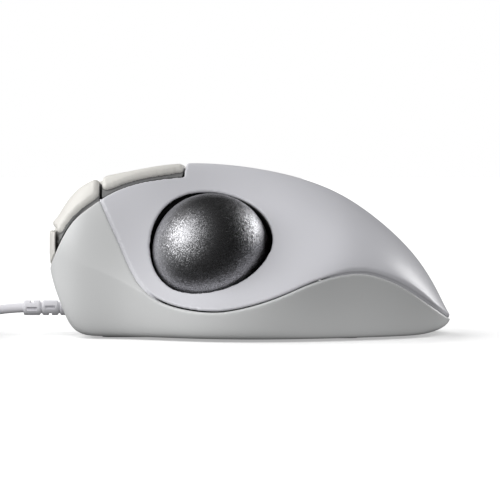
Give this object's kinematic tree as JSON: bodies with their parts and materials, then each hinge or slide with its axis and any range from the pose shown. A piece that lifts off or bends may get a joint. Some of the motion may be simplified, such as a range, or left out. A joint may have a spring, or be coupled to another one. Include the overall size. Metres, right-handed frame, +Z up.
{
  "type": "trackball mouse",
  "caption": "Wired trackball mouse with a thumb-operated ball, two buttons, a scroll wheel, a rocker key and a sculpted palm rest.",
  "frame": {"origin": "middle of the footprint on the desk, at desk height", "axes": "+Z up, +X towards the palm end, -Y the thumb side with the ball; the cable leaves towards -X"},
  "size_m": [0.1968, 0.084, 0.0505],
  "materials": {
    "top_case": "satin lavender grey moulded plastic",
    "base_shell": "satin light grey moulded plastic",
    "keys": "satin warm white moulded plastic",
    "rocker": "satin warm white moulded plastic",
    "dpi_button": "satin grey plastic",
    "ball": "graphite with fine metallic flake",
    "cup": "black plastic",
    "bead": "polished ceramic",
    "lens": "clear",
    "chip": "black resin",
    "board": "green solder mask",
    "wheel_hub": "dark grey plastic",
    "tyre": "ribbed rubber",
    "steel": "bright steel",
    "carrier": "black plastic",
    "encoder": "blue plastic",
    "switch": "black plastic",
    "plunger": "ivory plastic",
    "connector": "ivory plastic",
    "pads": "grey low-friction pad",
    "cable": "light grey cable jacket",
    "relief": "light grey moulded sleeve",
    "plug_grip": "light grey moulded grip",
    "plug_shell": "nickel-plated steel",
    "plug_tongue": "white plastic"
  },
  "bodies": {
    "casing": {"ball_cup": "cup", "base_shell": "base_shell", "bearing_beads": "bead", "board_screws": "steel", "cable_coil": "cable", "cable_connector": "connector", "cable_lead": "cable", "cable_tail": "cable", "case_screws": "steel", "centre_spine": "keys", "controller_chip": "chip", "desk_pads": "pads", "dpi_switch": "switch", "inner_cable": "cable", "left_switch": "switch", "main_board": "board", "plug_grip": "plug_grip", "plug_shell": "plug_shell", "plug_tongue": "plug_tongue", "right_switch": "switch", "rocker_board": "board", "rocker_pin": "steel", "rocker_switches": "switch", "sensor_board": "board", "sensor_chip": "chip", "sensor_lens": "lens", "strain_relief": "relief", "top_case": "top_case", "wheel_switch": "switch"},
    "left_button": {"left_button": "keys"},
    "right_button": {"right_button": "keys"},
    "rocker": {"rocker_key": "rocker"},
    "dpi_button": {"dpi_button": "dpi_button"},
    "wheel_carrier": {"wheel_carrier": "carrier", "wheel_encoder": "encoder"},
    "wheel": {"wheel_hub": "wheel_hub", "wheel_tyre": "tyre", "wheel_axle": "steel"},
    "ball": {"ball": "ball"},
    "left_plunger": {"left_plunger": "plunger"},
    "right_plunger": {"right_plunger": "plunger"},
    "wheel_plunger": {"wheel_plunger": "plunger"},
    "dpi_plunger": {"dpi_plunger": "plunger"}
  },
  "joints": [
    {"name": "left_click", "type": "hinge", "parent": "casing", "child": "left_button", "pos_m": [-0.019, -0.002, 0.0474], "axis": [0, -1, 0], "range_deg": [0, 0.9], "stiffness_Nm_per_rad": 0.6, "springref_deg": -1.15},
    {"name": "right_click", "type": "hinge", "parent": "casing", "child": "right_button", "pos_m": [-0.019, 0.024, 0.038], "axis": [0, -1, 0], "range_deg": [0, 0.9], "stiffness_Nm_per_rad": 0.6, "springref_deg": -1.15},
    {"name": "rocker_tilt", "type": "hinge", "parent": "casing", "child": "rocker", "pos_m": [-0.0323, -0.0107, 0.0416], "axis": [0, 1, 0], "range_deg": [-2, 2], "stiffness_Nm_per_rad": 0.15},
    {"name": "dpi_press", "type": "slide", "parent": "casing", "child": "dpi_button", "axis": [0, 0, -1], "range_m": [0, 0.0004], "stiffness_N_per_m": 2000, "springref_m": -0.0003},
    {"name": "wheel_click", "type": "slide", "parent": "casing", "child": "wheel_carrier", "axis": [0, 0, -1], "range_m": [0, 0.0005], "stiffness_N_per_m": 1500, "springref_m": -0.0004},
    {"name": "wheel_spin", "type": "hinge", "parent": "wheel_carrier", "child": "wheel", "pos_m": [-0.042, 0.009, 0.0326], "axis": [0, 1, 0], "continuous": true},
    {"name": "ball_roll", "type": "hinge", "parent": "casing", "child": "ball", "pos_m": [-0.0112, -0.022, 0.0249], "axis": [1, 0, 0], "continuous": true},
    {"name": "left_plunge", "type": "slide", "parent": "casing", "child": "left_plunger", "axis": [0, 0, -1], "range_m": [0, 0.0005]},
    {"name": "right_plunge", "type": "slide", "parent": "casing", "child": "right_plunger", "axis": [0, 0, -1], "range_m": [0, 0.0005]},
    {"name": "wheel_plunge", "type": "slide", "parent": "casing", "child": "wheel_plunger", "axis": [0, 0, -1], "range_m": [0, 0.0005]},
    {"name": "dpi_plunge", "type": "slide", "parent": "casing", "child": "dpi_plunger", "axis": [0, 0, -1], "range_m": [0, 0.0005]}
  ],
  "couplings": [
    {"joint": "left_plunge", "follows": "left_click", "m_per_rad": 0.026},
    {"joint": "right_plunge", "follows": "right_click", "m_per_rad": 0.026},
    {"joint": "wheel_plunge", "follows": "wheel_click", "ratio": 1},
    {"joint": "dpi_plunge", "follows": "dpi_press", "ratio": 1}
  ]
}
